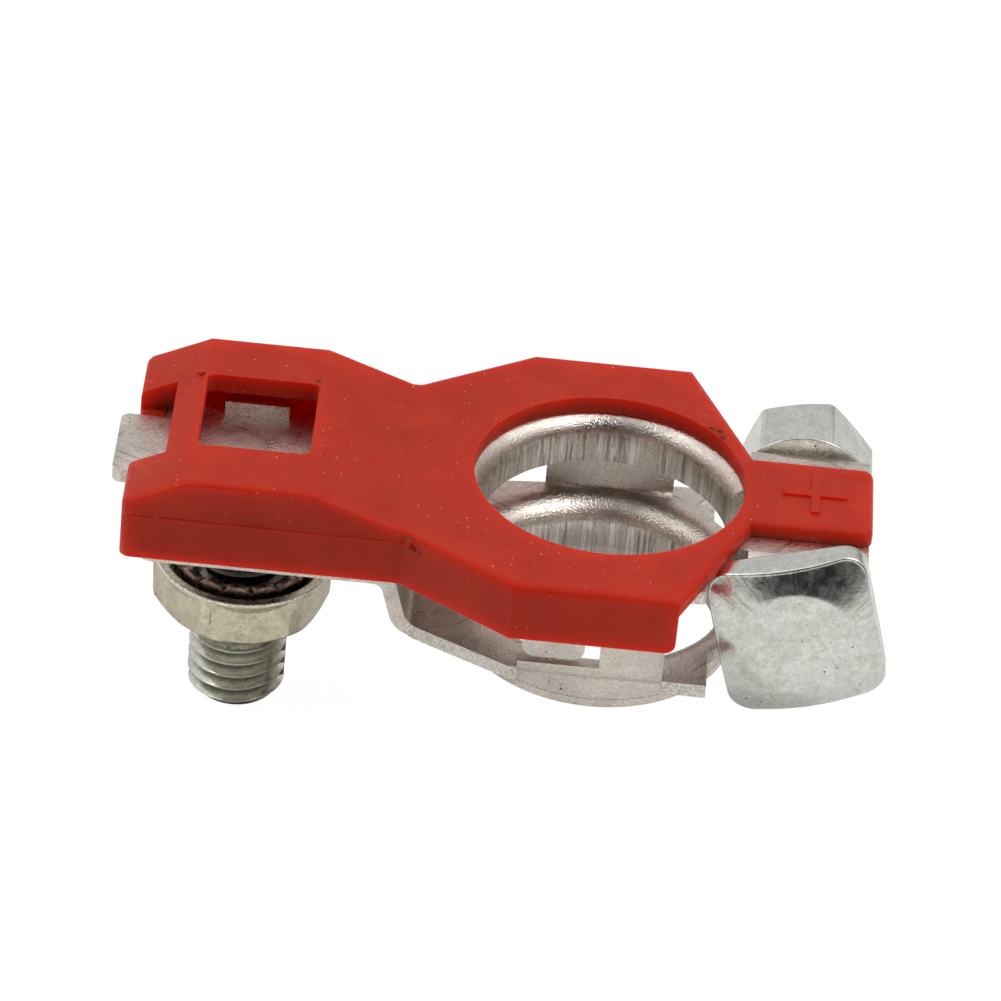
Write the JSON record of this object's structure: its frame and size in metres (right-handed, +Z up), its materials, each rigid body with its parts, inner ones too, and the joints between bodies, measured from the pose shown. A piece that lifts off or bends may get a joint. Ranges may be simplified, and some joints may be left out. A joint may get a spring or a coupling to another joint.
{
  "type": "battery terminal clamp",
  "caption": "Stamped battery terminal clamp with a red plastic cover, a split post collar closed by a pinch bolt, and a threaded cable stud with a hex nut.",
  "frame": {"origin": "on the post axis, at the underside of the lower collar", "axes": "+Z up along the battery post, +X from the cable tail towards the pinch bolt, +Y towards the pinch nut"},
  "size_m": [0.063, 0.0336, 0.0268],
  "materials": {
    "red_cover": "satin",
    "tinned_plate": "tin plated, scuffed",
    "stud_zinc": "zinc plated",
    "nut_zinc": "yellowish zinc plated",
    "washer_steel": "dark spring steel",
    "bolt_zinc": "zinc plated, stained"
  },
  "bodies": {
    "clamp": {"cover": "red_cover", "upper_plate": "tinned_plate", "lower_plate": "tinned_plate", "stud": "stud_zinc"},
    "washer": {"tooth_washer": "washer_steel"},
    "nut": {"stud_nut": "nut_zinc"},
    "bolt": {"pinch_bolt": "bolt_zinc"},
    "pinch": {"pinch_nut": "bolt_zinc"}
  },
  "joints": [
    {"name": "washer_slide", "type": "slide", "parent": "clamp", "child": "washer", "axis": [0, 0, 1], "range_m": [-0.006, 0.004]},
    {"name": "stud_nut_spin", "type": "hinge", "parent": "washer", "child": "nut", "pos_m": [-0.0288, 0, 0], "axis": [0, 0, 1], "range_deg": [-1730, 1154]},
    {"name": "pinch_bolt_slide", "type": "slide", "parent": "clamp", "child": "bolt", "axis": [0, -1, 0], "range_m": [0, 0.003]},
    {"name": "pinch_nut_spin", "type": "hinge", "parent": "clamp", "child": "pinch", "pos_m": [0.016, 0, 0.0082], "axis": [0, 1, 0], "range_deg": [-2, 1082]}
  ],
  "couplings": [
    {"joint": "stud_nut_spin", "follows": "washer_slide", "rad_per_m": 5026.5},
    {"joint": "pinch_nut_spin", "follows": "pinch_bolt_slide", "rad_per_m": 6283.2}
  ]
}
